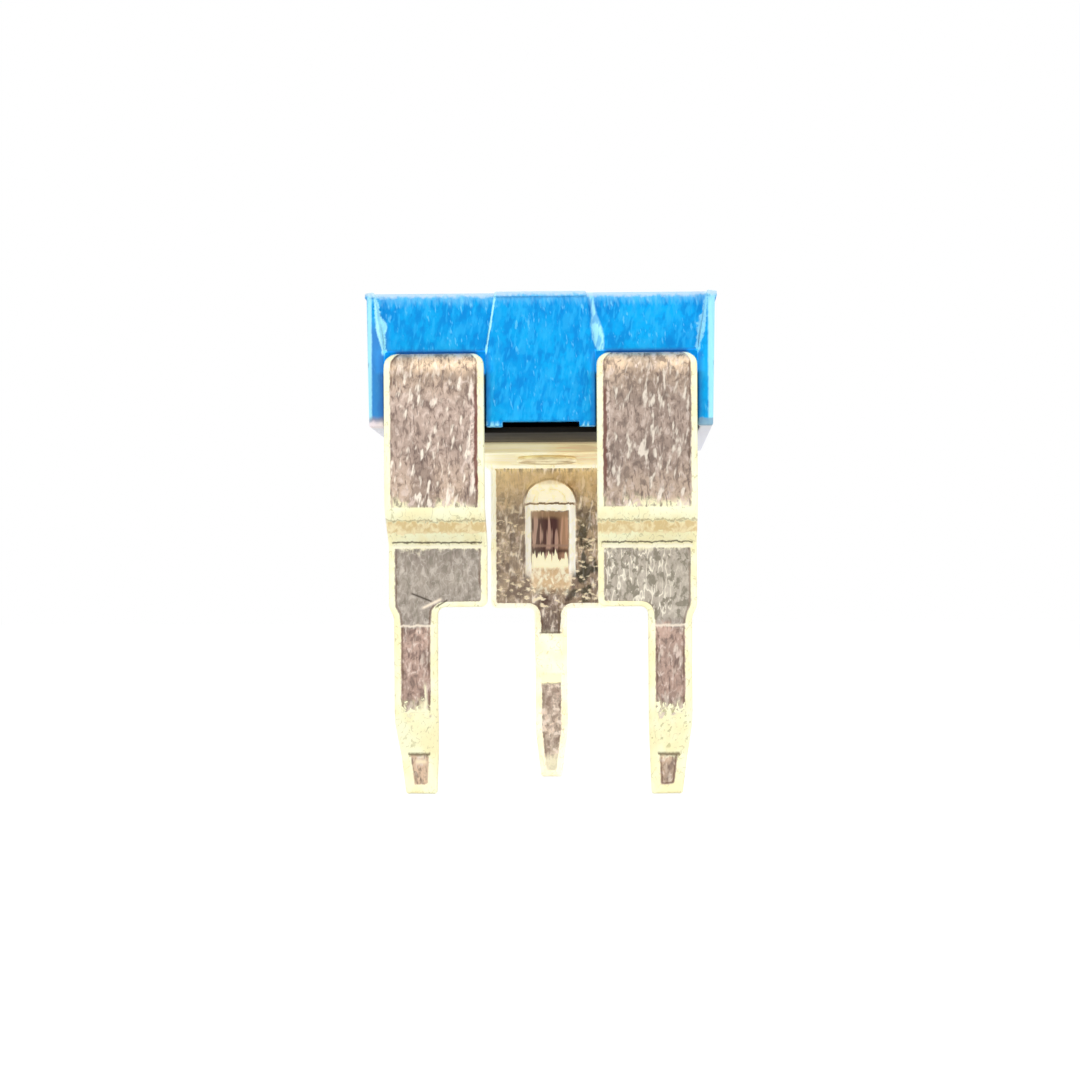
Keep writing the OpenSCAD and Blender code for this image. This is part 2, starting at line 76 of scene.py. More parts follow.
class Wire:
    """One output inside a material. Arithmetic on it adds the Math node that works it out."""

    def __init__(self, finish, socket):
        self.finish = finish
        self.socket = socket

    def maths(self, operation, *values):
        return self.finish.node("Math", {"operation": operation}, dict(enumerate(values)))

    def __add__(self, other):
        return self.maths("ADD", self, other)

    def __sub__(self, other):
        return self.maths("SUBTRACT", self, other)

    def __mul__(self, other):
        return self.maths("MULTIPLY", self, other)

    def __truediv__(self, other):
        return self.maths("DIVIDE", self, other)

    def __rsub__(self, other):
        return self.maths("SUBTRACT", other, self)

    def __abs__(self):
        return self.maths("ABSOLUTE", self)

    def most(self, other):
        return self.maths("MAXIMUM", self, other)

    __radd__ = __add__
    __rmul__ = __mul__

    def step(self, low, high):
        """Smooth step: 0 where the value is at low, 1 where it is at high."""
        settings = {"interpolation_type": "SMOOTHSTEP"}
        return self.finish.node("MapRange", settings,
                                {"Value": self, "From Min": low, "From Max": high})

    def near(self, centre, width):
        """1 where the value is at centre, falling smoothly to 0 at width from it."""
        return abs(self - centre).step(width, 0)

    def within(self, rise, full, fade, gone):
        """1 where the value is from full to fade, falling smoothly to 0 at rise and at gone."""
        return self.step(rise, full) * self.step(gone, fade)


class Finish:
    """The nodes of one material. node() adds a node of any kind, named without ShaderNode, and gives
    one of its outputs as a Wire."""

    def __init__(self, owner):
        owner.use_nodes = True
        self.owner = owner
        self.tree = owner.node_tree
        self.shader = self.tree.nodes.get("Principled BSDF")

    def node(self, kind, settings={}, inputs={}, output=0):
        made = self.tree.nodes.new("ShaderNode" + kind)
        for name, value in settings.items():
            if name == "stops":
                self.set_stops(made.color_ramp, value)
            else:
                setattr(made, name, value)
        for key, value in inputs.items():
            self.feed(self.pick(made.inputs, key), value)
        return Wire(self, self.pick(made.outputs, output))

    def pick(self, sockets, key):
        shown = [s for s in sockets if s.enabled]
        return shown[key] if isinstance(key, int) else next(s for s in shown if s.name == key)

    def feed(self, socket, value):
        if isinstance(value, Wire):
            self.tree.links.new(value.socket, socket)
        else:
            socket.default_value = value

    def set_stops(self, ramp, stops):
        while len(ramp.elements) < len(stops):
            ramp.elements.new(1)
        for element, (position, colour) in zip(ramp.elements, stops):
            element.position = position
            element.color = colour

    def set(self, **values):
        """Feeds the Principled shader's sockets, whose names are given with _ for a space."""
        for name, value in values.items():
            self.feed(self.shader.inputs[name.replace("_", " ")], value)

    def place(self):
        """The point on the piece, in metres."""
        return self.node("TexCoord", output="Object")

    def axis(self, name):
        return self.node("SeparateXYZ", inputs={0: self.place()}, output=name)

    def grain(self, size, turn=(0, 0, 0), shift=(0, 0, 0), detail=2.0, roughness=0.5, warp=0.0):
        """Noise in patches that are as wide along each axis as size says, in millimetres."""
        point = self.node("Mapping", {"vector_type": "TEXTURE"},
                          {"Vector": self.place(), "Location": [s * MM for s in shift],
                           "Rotation": turn, "Scale": [s * MM for s in size]})
        return self.node("TexNoise", {}, {"Vector": point, "Scale": 1.0, "Detail": detail,
                                          "Roughness": roughness, "Distortion": warp})

    def mix(self, share, *pair):
        """Mixes two colours, each a Wire, a screen colour of three numbers or a linear one of four."""
        first, second = (tint(*c) if isinstance(c, tuple) and len(c) == 3 else c for c in pair)
        return self.node("Mix", {"data_type": "RGBA"}, {"Factor": share, "A": first, "B": second})

    def over(self, colour, *coats):
        """A colour with coats over it in turn. Each is its share of the surface, and its colour."""
        for share, tone in coats:
            colour = self.mix(share, colour, tone)
        return colour

    def ramp(self, value, stops):
        return self.node("ValToRGB", {"stops": stops}, {"Fac": value}, "Color")

    def bump(self, height, distance, strength=1.0):
        return self.node("Bump", {}, {"Height": height, "Distance": distance, "Strength": strength})


def new_finish(name, **constants):
    finish = Finish(bpy.data.materials.new(name))
    finish.set(**constants)
    return finish


def paint(piece, finish):
    """Gives the piece, or the carried-over node, this one finish."""
    if not piece.material_slots:
        piece.data.materials.append(finish.owner)
    for place in piece.material_slots:
        place.material = finish.owner


def add_object(name, data):
    """A new object of the scene, at the origin."""
    made = bpy.data.objects.new(name, data)
    bpy.context.scene.collection.objects.link(made)
    return made


def round_edges(piece, width):
    """Rounds the edges that have a bevel weight, at full weight to this width."""
    bevel = piece.modifiers.new("rounded_edges", "BEVEL")
    bevel.width = width
    bevel.segments = 3
    bevel.limit_method = "WEIGHT"
    bevel.use_clamp_overlap = False
    bevel.harden_normals = True


def softened(name, node, width, smallest=0.12 * MM):
    """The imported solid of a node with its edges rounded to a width.

    Its loose triangles are merged and flat faces joined. Each sharp edge then gets a bevel weight:
    the width of the narrower of its two faces, or its own length where that is less, over the
    smallest width that takes a full rounding."""
    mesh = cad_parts[node].data.copy()
    form = bmesh.new()
    form.from_mesh(mesh)
    bmesh.ops.remove_doubles(form, verts=form.verts, dist=SAME_POINT)
    bmesh.ops.dissolve_limit(form, angle_limit=FLAT_ANGLE, verts=form.verts, edges=form.edges)
    weights = form.edges.layers.float.new("bevel_weight_edge")
    for edge in form.edges:
        if len(edge.link_faces) == 2 and edge.calc_face_angle() > SHARP_ANGLE:
            across = [2 * f.calc_area() / f.calc_perimeter() for f in edge.link_faces]
            edge[weights] = min(1.0, min(across) / smallest, edge.calc_length() / smallest)
    form.to_mesh(mesh)
    form.free()
    mesh.shade_smooth()
    piece = add_object(name, mesh)
    round_edges(piece, width)
    piece.modifiers.new("flat_faces", "WEIGHTED_NORMAL").keep_sharp = True
    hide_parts(node)
    return piece


def board_finish():
    finish = new_finish("phenolic_board", Specular_IOR_Level=0.12)
    fibres = finish.grain((1.6, 0.12, 0.06), detail=3.0)
    clouds = finish.grain((0.9, 0.5, 0.3))
    # Painted shade: the board is darker towards its front, where the cover shades it, and its fibres show
    # only further back.
    back = (finish.axis("Y") / MM + 0.8 * (clouds - 0.5)).step(-3.25, -1.1)
    colour = finish.over(finish.mix(back, (18, 15, 9), (76, 70, 56)),
                         (clouds.step(0.35, 0.7) * 0.5, (20, 17, 11)),
                         (fibres.step(0.56, 0.8) * 0.4 * back, (128, 118, 94)))
    finish.set(Base_Color=colour, Roughness=0.5 + 0.3 * fibres,
               Normal=finish.bump(fibres, 0.012 * MM, 0.6))
    return finish


board = softened("board", "substrate", BOARD_EDGE)
paint(board, board_finish())
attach(board, "base")

# The track and its two ends: a horseshoe of carbon ink, screened on the board and baked.
# Silver paste is printed under each end, where a terminal presses on it.
# Both are thin flat films, so the solids stay as they are and only get their finish.


def carbon_finish():
    finish = new_finish("carbon_ink")
    specks = finish.grain((0.05,) * 3, detail=4.0, roughness=0.7)
    screen = finish.node("TexWave", {"wave_type": "RINGS", "rings_direction": "Z"},
                         {"Vector": finish.place(), "Scale": 3200.0, "Distortion": 2.0,
                          "Detail": 2.0, "Detail Scale": 1.5}, 1)
    colour = finish.mix(specks.step(0.45, 0.75), (30, 30, 32), (62, 61, 60))
    finish.set(Base_Color=colour, Roughness=0.35 + 0.3 * specks,
               Normal=finish.bump(specks + 0.4 * screen, 0.004 * MM))
    return finish


def silver_finish():
    finish = new_finish("silver_paste", Metallic=0.8)
    grains = finish.grain((0.04,) * 3, detail=4.0, roughness=0.7)
    clouds = finish.grain((0.5,) * 3)
    colour = finish.mix(clouds.step(0.35, 0.65), (196, 194, 188), (226, 224, 218))
    colour = finish.mix(grains.step(0.55, 0.75) * 0.4, colour, (150, 146, 138))
    finish.set(Base_Color=colour, Roughness=0.35 + 0.3 * grains,
               Normal=finish.bump(grains, 0.004 * MM))
    return finish


paint(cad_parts["resistive_track"], carbon_finish())
silver = silver_finish()
for node in ("electrode_left", "electrode_right"):
    paint(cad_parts[node], silver)

# The rear terminal, which carries the wiper's signal: tin-plated sheet, stamped and bent.
# Its flat part lies under the board, its plate hangs behind and its pin is kinked to hold in a hole.
# A pressed bead stiffens the plate. The eyelet through the board's middle holds it.
BENT_FROM, BENT_FULLY = 0.02, 0.07
SHEET = 0.25 * MM
BEND = 0.27 * MM
SEAT = 3.7 * MM
RIM = 0.1 * MM
RIM_ROUNDING = 0.055 * MM
DENT_INSET = 0.12 * MM
STEP = 0.05 * MM


def rounded(corners, radii, step=STEP):
    """A line through the corners, with each inner corner rounded to its radius.

    At a corner the two sides meet at an angle. An arc touches both sides at the radius over the
    tangent of half that angle, and straight stretches join the arcs. Gives the points, about a
    step apart, and how far along the line each one lies."""
    corners = np.asarray(corners, float)
    radii = np.broadcast_to(radii, len(corners) - 2)
    pieces, start = [], corners[0]
    for before, corner, after, radius in zip(corners, corners[1:], corners[2:], radii):
        u = (before - corner) / np.linalg.norm(before - corner)
        v = (after - corner) / np.linalg.norm(after - corner)
        half = np.arccos(np.clip(u @ v, -1, 1)) / 2
        turn = math.pi - 2 * half
        centre = corner + (u + v) / np.linalg.norm(u + v) * radius / math.sin(half)
        first = corner + u * radius / math.tan(half) - centre
        last = corner + v * radius / math.tan(half) - centre
        t = np.linspace(0, 1, max(5, math.ceil(radius * turn / step) + 1))[:, None]
        arc = centre + (first * np.sin((1 - t) * turn) + last * np.sin(t * turn)) / math.sin(turn)
        pieces += [straight(start, arc[0], step)[:-1], arc[:-1]]
        start = arc[-1]
    line = np.concatenate(pieces + [straight(start, corners[-1], step)])
    run = np.concatenate([[0], np.cumsum(np.linalg.norm(np.diff(line, axis=0), axis=1))])
    return line, run


def straight(start, end, step):
    """Evenly spaced points from start to end."""
    count = max(1, math.ceil(np.linalg.norm(end - start) / step))
    return start + (end - start) * np.linspace(0, 1, count + 1)[:, None]


def at(where, run, line):
    """The points of a line at the given distances along it."""
    return np.stack([np.interp(where, run, column) for column in line.T], axis=-1)


def side_rows(outline, radii, stations, counts):
    """Places on one edge of the flat sheet for each row, with the unit normals there.

    The edge is a rounded line of (across, along) points. Between two stations, which are distances
    along the sheet, the rows lie evenly on the edge. A normal is the edge's direction turned by a
    right angle, to the right of someone who walks towards the pin's tip."""
    line, run = rounded(outline, radii, STEP / 4)
    stops = np.interp(stations, line[:, 1], run)
    where = np.concatenate([np.linspace(a, b, n, endpoint=False)
                            for a, b, n in zip(stops, stops[1:], counts)] + [stops[-1:]])
    direction = np.gradient(line, run, axis=0)
    tangent = at(where, run, direction)
    tangent /= np.linalg.norm(tangent, axis=1, keepdims=True)
    return at(where, run, line), np.stack([tangent[:, 1], -tangent[:, 0]], axis=-1)


def add_mesh(name, vertices, faces, **values):
    """A smooth mesh of these vertices and faces, with one named value for each vertex."""
    mesh = bpy.data.meshes.new(name)
    mesh.from_pydata(vertices.reshape(-1, 3).tolist(), [], faces.reshape(-1, 4).tolist())
    for key, value in values.items():
        layer = mesh.attributes.new(key, "FLOAT", "POINT")
        layer.data.foreach_set("value", np.ascontiguousarray(value.reshape(-1), np.float32))
    mesh.shade_smooth()
    return add_object(name, mesh)


def quads(index):
    """Four-sided faces between the rows and columns of a grid of vertex numbers."""
    return np.stack([index[:-1, :-1], index[:-1, 1:], index[1:, 1:], index[1:, :-1]], axis=-1)


def border(grid):
    """The values round the border of a grid, from its first corner along its first row."""
    return np.concatenate([grid[0, :-1], grid[:-1, -1], grid[-1, :0:-1], grid[:0:-1, 0]])


def mark_rim(mesh, shape):
    """Full bevel weight on the edges round both faces of a sheet, and on its four corners."""
    number = np.arange(shape[0] * shape[1]).reshape(shape)
    ends = np.empty(2 * len(mesh.edges), np.int32)
    mesh.edges.foreach_get("vertices", ends)
    face, place = np.divmod(ends.reshape(-1, 2), number.size)
    along = (face[:, 0] == face[:, 1]) & np.isin(place, border(number)).all(axis=1)
    across = (place[:, 0] == place[:, 1]) & np.isin(place[:, 0], number[::shape[0] - 1, ::shape[1] - 1])
    weights = mesh.attributes.new("bevel_weight_edge", "FLOAT", "EDGE")
    weights.data.foreach_set("value", (along | across).astype(np.float32))


def stamped(name, side, left, right, stations, counts, columns, bulge, pressed=None, flip=False):
    """A stamped and bent sheet, as a grid of rows across and columns along.

    Flat, a row runs from the left edge to the right edge: the edge itself, a rim of fixed width
    inside it, and even steps between the two rims, bulged towards the tab above a shoulder.
    Bent, a point's distance along the sheet gives its place on the side view's rounded line. The
    two faces lie half the sheet's thickness to either side of it, along its normal, and a pressed
    shape moves both, the rear one in a narrower outline. A rim joins the two borders."""
    line, run = rounded(side, BEND, STEP / 4)
    edge_l, normal_l = side_rows(*left, stations, counts)
    edge_r, normal_r = side_rows(*right, stations, counts)
    rim_l, rim_r = edge_l + RIM * normal_l, edge_r - RIM * normal_r
    u = np.linspace(0, 1, columns)[None, :, None]
    inside = rim_l[:, None] * (1 - u) + rim_r[:, None] * u
    inside[..., 1] -= bulge(stations, counts)[:, None] * 4 * (u * (1 - u))[..., 0]
    flat = np.concatenate([edge_l[:, None], inside, edge_r[:, None]], axis=1)
    across, along = flat[..., 0], flat[..., 1]
    width = np.linalg.norm(rim_r - rim_l, axis=1)[:, None]
    inner = RIM + np.minimum(u[..., 0], 1 - u[..., 0]) * width
    margin = np.pad(inner, ((0, 0), (1, 1)))
    margin = np.minimum(margin, np.minimum(along, run[-1] - along))
    yz = at(along, run, line)
    slope = at(along, run, np.gradient(line, run, axis=0))
    slope /= np.linalg.norm(slope, axis=-1, keepdims=True)
    sides = []
    for offset, inset in ((SHEET / 2, 0), (-SHEET / 2, DENT_INSET)):
        raised = pressed(across, yz[..., 1], inset) if pressed else 0
        y = yz[..., 0] + offset * slope[..., 1] - raised * np.abs(slope[..., 1])
        sides.append(np.stack([across, y, yz[..., 1] - offset * slope[..., 0]], axis=-1))
    vertices = np.stack(sides)
    lean = 1 - np.abs(slope[..., 1])
    steep = np.clip((lean - BENT_FROM) / (BENT_FULLY - BENT_FROM), 0, 1)
    front, back = np.arange(2 * across.size).reshape(2, *across.shape)
    ring = np.stack([border(front), border(back)], axis=1)
    ring = np.concatenate([ring, ring[:1]])
    faces = np.concatenate([quads(grid).reshape(-1, 4) for grid in (front[:, ::-1], back, ring[:, ::-1])])
    if flip:
        vertices[..., 0] *= -1
        faces = faces[:, ::-1]
    # The second value, how far the sheet leans from upright at each point, sets where the finish paints a
    # highlight on the bends.
    piece = add_mesh(name, vertices, faces, margin=np.stack([margin, margin]) / MM,
                     polish=np.stack([steep, steep]))
    mark_rim(piece.data, across.shape)
    round_edges(piece, RIM_ROUNDING)
    return piece


def drilled(piece, node, radius, steps=48):
    """Cuts a round upright hole through the piece, where the rivet or eyelet of a node passes.

    The cutter's rings lie above and below the node's middle, at the radius times the cosine and
    sine of even angles, and its ends are closed by the rings themselves."""
    low_point, high_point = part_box(node)
    centre = (low_point + high_point) / 2
    a = np.linspace(0, 2 * math.pi, steps, endpoint=False)
    ring = np.stack([centre[0] + radius * np.cos(a), centre[1] + radius * np.sin(a)], axis=-1)
    rings = [np.insert(ring, 2, z, axis=1) for z in (low_point.z - MM, high_point.z + MM)]
    number = np.arange(steps)
    walls = np.stack([number, np.roll(number, -1), np.roll(number, -1) + steps, number + steps], axis=-1)
    mesh = bpy.data.meshes.new("cutter")
    ends = [number[::-1].tolist(), (number + steps).tolist()]
    mesh.from_pydata(np.concatenate(rings).tolist(), [], walls.tolist() + ends)
    cutter = add_object("cutter", mesh)
    cut = piece.modifiers.new("hole", "BOOLEAN")
    cut.object = cutter
    graph = bpy.context.evaluated_depsgraph_get()
    piece.data = bpy.data.meshes.new_from_object(piece.evaluated_get(graph))
    piece.modifiers.clear()
    bpy.data.objects.remove(cutter)


def tinned_finish(name, tones, greys, lines, top, narrow, pale, marks):
    """Tin plate: mottled and streaked on its flats, with painted highlights on its bends and along its
    sheared edges, where they catch the light.

    tones are the colours up the piece, painted light among them, and greys the range of heights with
    calm grey. lines are (height, half width, colour, strength) of painted lines along the bends: dark
    painted shade in creases and pale painted glints. Above top the bend gets no painted highlight, and
    below narrow the painted highlight on the rim is wider. pale is the painted highlights' two colours,
    and marks adds what else is on the piece."""
    finish = new_finish(name)
    height = finish.axis("Z") / MM
    polish, margin = (finish.node("Attribute", {"attribute_name": key}, output="Fac")
                      for key in ("polish", "margin"))
    clouds = finish.grain((0.45, 0.6, 0.6))
    blots = finish.grain((0.12, 0.3, 0.19), turn=(0, 0.1, 0), detail=3.0, roughness=0.6, warp=0.5)
    fine = finish.grain((0.04, 0.2, 0.07))
    streaks = finish.grain((0.085, 0.4, 0.3), turn=(0, 0.13, 0))
    strokes = finish.grain((0.035, 0.4, 0.2), turn=(0, -0.1, 0), shift=(3.3, 0, 1.7))
    veins = finish.grain((0.13, 0.4, 0.22), shift=(0, 0, 5.1), detail=1.0)
    wander = height + 0.6 * (blots - 0.5) + 0.5 * (clouds - 0.5)
    highest = tones[-1][0]
    flats = finish.ramp(wander / highest, [(place / highest, tint(*tone)) for place, *tone in tones])
    calm = height.within(greys[0] - 0.05, greys[0], greys[1], greys[1] + 0.05)
    lively = 1 - 0.85 * calm
    bold = (streaks + 0.35 * (clouds - 0.5)).step(0.55, 0.70) * lively
    bold = bold * (0.35 + 0.6 * height.step(3.0, 3.8)) * (0.35 + 0.65 * height.step(8.4, 8.0))
    flats = finish.over(
        flats,
        (clouds.step(0.44, 0.6) * 0.6 * lively, (146, 128, 118)),
        (blots.step(0.5, 0.36) * 0.65, finish.mix(calm, (116, 98, 90), (138, 132, 118))),
        (blots.step(0.53, 0.66) * 0.7 * lively, (236, 218, 206)),
        (blots.step(0.52, 0.66) * 0.6 * calm, (208, 200, 188)),
        (strokes.step(0.56, 0.70) * (0.65 - 0.35 * calm), (108, 90, 84)),
        (bold, (255, 244, 228)),
        (veins.near(0.5, 0.03) * calm * 0.4, (216, 208, 198)),
        (fine.step(0.52, 0.75) * 0.3, (150, 140, 130)))
    cream = finish.over(
        finish.mix(clouds.step(0.4, 0.65), pale[0], pale[1]),
        (veins.near(0.52, 0.03) * blots.step(0.47, 0.56) * 0.55, (178, 170, 118)),
        (fine.step(0.62, 0.72) * 0.35, (206, 188, 140)))
    inside = (margin - 0.05 * height.step(narrow + 0.1, narrow) - 0.02 * height.step(3.5, 3.3)
              + 0.05 * (blots - 0.5) - 0.03 * (fine - 0.5))
    # Painted highlights: the rounded rim and the bends, where they catch the light, get the pale colours.
    rim = inside.step(0.132, 0.106)
    bend_highlight = (polish * 1.25 - 0.5 * strokes.step(0.5, 0.75) * (1 - polish)).step(0.2, 0.75)
    bend_highlight = bend_highlight * height.step(top + 0.1, top) * (1 - wander.step(1.62, 1.7) * height.step(2.3, 2.2))
    painted_sheen = rim.most(bend_highlight)
    inner_line = inside.near(0.15, 0.03) * clouds.step(0.35, 0.55) * (1 - bend_highlight)
    level = height + 0.08 * (blots - 0.5)
    on_face = inside.step(0.07, 0.1)
    colour = finish.over(flats, (inner_line * 0.75, (112, 84, 66)), (painted_sheen, cream),
                         *((level.near(place, half) * on_face * strength, tone)
                           for place, half, tone, strength in lines))
    colour, painted_sheen = marks(finish, colour, painted_sheen, level, blots)
    finish.set(Base_Color=colour, Metallic=0.75 - 0.55 * painted_sheen,
               Roughness=0.32 + 0.16 * fine + 0.12 * streaks,
               Normal=finish.bump(streaks * 0.6 + fine * 0.4 + strokes * 0.4, 0.006 * MM, 0.7))
    return finish, painted_sheen


PLATE_HALF = 1.3 * MM
EAR = 0.2 * MM
PIN_HALF = 0.35 * MM
TIP_LESS = 0.125 * MM
KINK = 0.45 * MM
REAR_TIP = 0.25 * MM
REAR_TAPER = 1.0 * MM
EYELET_SHANK = 0.52 * MM
FLAT_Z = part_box("terminal_centre")[1].z - SHEET / 2
REAR_FRONT = -0.95 * MM
REAR_ROW = 2.15 * MM
# From the side, as (y, z): flat part, plate, the pin's bend, its kink and its tip
rear_side = [(REAR_FRONT, FLAT_Z), (REAR_ROW, FLAT_Z), (REAR_ROW, SEAT - 0.5 * MM),
             (REAR_ROW + KINK, SEAT - 1.6 * MM), (REAR_ROW + REAR_TIP, 0)]


def along_at(side, height):
    """How far along a bent side view the sheet first comes down to this height."""
    line, run = rounded(side, BEND, STEP / 4)
    return float(np.interp(-height, -line[:, 1], run))


def ease(value, low, high):
    """Smooth step from 0 at low to 1 at high, for arrays."""
    t = np.clip((value - low) / (high - low), 0, 1)
    return t * t * (3 - 2 * t)


def shoulder_bulge(first, depth):
    """Bulge of each row between station first and the next: it rises fast and then dies away."""
    def bulge(stations, counts):
        starts = np.concatenate([[0], np.cumsum(counts)])
        t = (np.arange(starts[-1] + 1) - starts[first]) / counts[first]
        return np.where((t > 0) & (t < 1), depth * (1 - t) * ease(t, 0, 0.3), 0)
    return bulge


ABOVE_SHOULDER, BELOW_SHOULDER = 0.5 * MM, 0.3 * MM
SHOULDER_BULGE = 0.25 * MM
BEAD_LOW, BEAD_HIGH = SEAT + 0.12 * MM, SEAT + 2.77 * MM
BEAD_HALF = 0.575 * MM
BEAD_RISE = 0.235 * MM
CAP_FOOT = 5.95


def pressed_bead(across, height, inset):
    """Rise of the bead: a flat crown between steep flanks, a round cap on top, a long foot below.

    The whole outline shrinks by the inset."""
    flank = ease(BEAD_HALF - inset - np.abs(across), 0, 0.17 * MM)
    cap = ease(BEAD_HIGH - inset - height, 0, 0.5 * MM)
    foot = ease(height - inset - BEAD_LOW, 0, 0.75 * MM)
    return BEAD_RISE * flank * cap * foot


def bead_marks(finish, colour, painted_sheen, z, blots):
    """Dark patches and pale specks on the plate, and the bead: painted highlights on its domed cap,
    the band under it, its side frames and its ragged lower slope, painted shade in the creases round
    it, and between them a dark streaked window. The pin is mottled below a painted highlight on its
    kink, with painted shade in the crease at its foot. The plate's left half is painted a little
    paler, and the fold at the top is pale, with tan streaks. z is the height in millimetres."""
    side = finish.axis("X") / MM
    plate = z.within(3.55, 3.7, 6.6, 6.75)
    front = finish.axis("Y").step(REAR_ROW - 0.1 * MM, REAR_ROW - 0.16 * MM) * plate
    ragged = finish.grain((0.05, 0.3, 0.5), detail=1.0)
    streak = finish.grain((0.1, 0.3, 0.9), shift=(0.03, 0, 0), detail=1.0)
    patches = finish.grain((0.3, 0.5, 0.4), shift=(0, 0, 2.3), detail=3.0)
    specks = finish.grain((0.15, 0.3, 0.09), shift=(1.1, 0, 0), detail=3.0)
    layers = finish.grain((1.3, 0.5, 0.08), shift=(0, 0, 0.4), detail=3.0)
    mottled = finish.grain((0.13, 0.4, 0.13), shift=(0, 0, 3.1))
    lower = z.step(6.1, 5.3)
    matt = plate * (1 - painted_sheen)
    dark = finish.mix(side.step(0.2, 0.6), (86, 62, 56), (62, 62, 50))
    smooth = finish.mix(patches.step(0.42, 0.6), (226, 198, 150), (196, 164, 122))
    edge = abs(side) + 0.05 * (ragged - 0.5)
    rise = z - CAP_FOOT
    bow = edge * edge * 3.2 + rise * rise * 3.5
    above = z.step(CAP_FOOT + 0.02, CAP_FOOT + 0.06)
    dome = bow.step(1.04, 0.94) * above
    band = edge.step(0.55, 0.52) * z.within(5.80, 5.83, CAP_FOOT - 0.02, CAP_FOOT)
    frames = edge.within(0.395, 0.415, 0.535, 0.56) * z.within(4.3, 4.6, CAP_FOOT - 0.03, CAP_FOOT)
    opening = edge.step(0.405, 0.385) * z.within(4.5, 4.62, 5.77, 5.81)
    # Painted highlight: the bead's lower slope is paler, where it catches the light.
    foot_highlight = (edge + 0.25 * (patches - 0.5)).step(0.5, 0.36) * z.within(3.9, 4.25, 4.6, 4.72)
    # Painted highlight with a ragged edge, low in the window, where the crown meets the slope.
    ragged_highlight = (z + 0.7 * (ragged - 0.5)).step(4.86, 4.78)
    warm = finish.mix(blots.step(0.42, 0.62), (224, 192, 150), (255, 246, 216))
    window = finish.over(
        finish.mix(streak.step(0.47, 0.55), (92, 62, 60), (200, 164, 148)),
        (side.step(0.12, 0.3) * 0.7, (214, 170, 136)),
        (z.step(5.6, 5.72) * 0.8, (176, 144, 112)),
        (z.near(5.05, 0.05) * 0.8, (178, 146, 128)),
        (z.near(4.93, 0.09) * 0.8, (76, 52, 44)),
        (ragged_highlight, (255, 250, 216)))
    # Painted highlights on the domed cap, the band under it and the side frames, which catch the light.
    bright = dome.most(frames).most(band) * front
    bead_highlight_tone = finish.mix(blots.step(0.48, 0.62), (255, 255, 250), (246, 243, 222))
    crease = bow.near(0.42, 0.07) * dome * streak.step(0.4, 0.5)
    # Painted shade: dark lines in the creases along the frames, at the foot of the cap and round its top.
    upright = (edge.near(0.41, 0.025) * z.step(5.84, 5.78)).most(edge.near(0.585, 0.03))
    line = upright * z.step(4.5, 4.8) * z.step(CAP_FOOT + 0.02, CAP_FOOT - 0.05)
    line = line.most(z.near(CAP_FOOT + 0.015, 0.025) * edge.step(0.56, 0.5))
    line = line.most(bow.near(1.12, 0.13) * above)
    rusty = side.near(-0.68, 0.07) * z.within(4.9, 5.2, 6.1, 6.4) * front
    pin = z.step(2.1, 2.0) * (1 - painted_sheen)
    kink = (z + 0.1 * (mottled - 0.5)).step(2.03, 2.06) * z.step(2.6, 2.5)
    folded = z.step(6.78, 6.9)
    right = (side + 0.6 * (patches - 0.5)).step(-0.2, 0.4)
    colour = finish.over(
        colour,
        (patches.step(0.47, 0.58) * lower * matt * 0.85, dark),
        (specks.step(0.54, 0.68) * matt * (0.35 + 0.6 * lower), (255, 240, 208)),
        (z.step(5.8, 6.5) * matt * 0.65, smooth),
        (foot_highlight * front * 0.9, warm),
        (opening * front, window),
        (bright, bead_highlight_tone),
        (crease * 0.6, (206, 196, 156)),
        (line * front * 0.75, (96, 72, 48)),
        (rusty * 0.6, (104, 56, 48)),
        (pin * 0.25, (255, 236, 212)),
        (mottled.step(0.5, 0.62) * pin * 0.5, (138, 112, 98)),
        (mottled.step(0.44, 0.36) * pin * 0.8, (255, 240, 226)),
        (z.step(0.55, 0.35) * pin * 0.7, (255, 250, 216)),
        # Painted highlight on the kink, then painted shade in the crease at its foot.
        (kink * (1 - painted_sheen), (255, 252, 214)),
        (z.near(2.05, 0.022) * (1 - painted_sheen) * 0.6, (150, 138, 96)),
        # Painted light: the left half of the plate a little paler.
        (side.step(0, -0.5) * matt * 0.15, (255, 236, 210)),
        (folded, finish.mix(right, (255, 252, 212), (255, 232, 172))),
        (folded * layers.step(0.46, 0.62) * (0.45 + 0.3 * right), (212, 174, 112)))
    return colour, painted_sheen.most(bright).most(ragged_highlight * opening * front).most(kink)


rear_seat = along_at(rear_side, SEAT)
rear_turn = along_at(rear_side, FLAT_Z - BEND)
rear_taper = along_at(rear_side, REAR_TAPER)
rear_end = along_at(rear_side, 0)


def rear_edge(sign):
    """Flat outline of one side, as (across, along), with the radius of each inner corner: ear beside
    the flat part, plate, shoulder, pin and tapered tip."""
    points = [(PLATE_HALF + EAR, 0), (PLATE_HALF + EAR, rear_turn - EAR), (PLATE_HALF, rear_turn),
              (PLATE_HALF, rear_seat), (PIN_HALF, rear_seat), (PIN_HALF, rear_taper),
              (PIN_HALF - TIP_LESS, rear_end)]
    radii = np.array([0.16, 0.16, 0.14, 0.15, 0.5]) * MM
    return [(sign * x, s) for x, s in points], radii


rear_terminal = stamped(
    "rear_terminal", rear_side, rear_edge(-1), rear_edge(1),
    stations=[0, rear_turn + 0.1 * MM, rear_seat - ABOVE_SHOULDER, rear_seat + BELOW_SHOULDER,
              rear_taper, rear_end],
    counts=[60, 60, 40, 36, 18], columns=46, bulge=shoulder_bulge(2, SHOULDER_BULGE),
    pressed=pressed_bead)
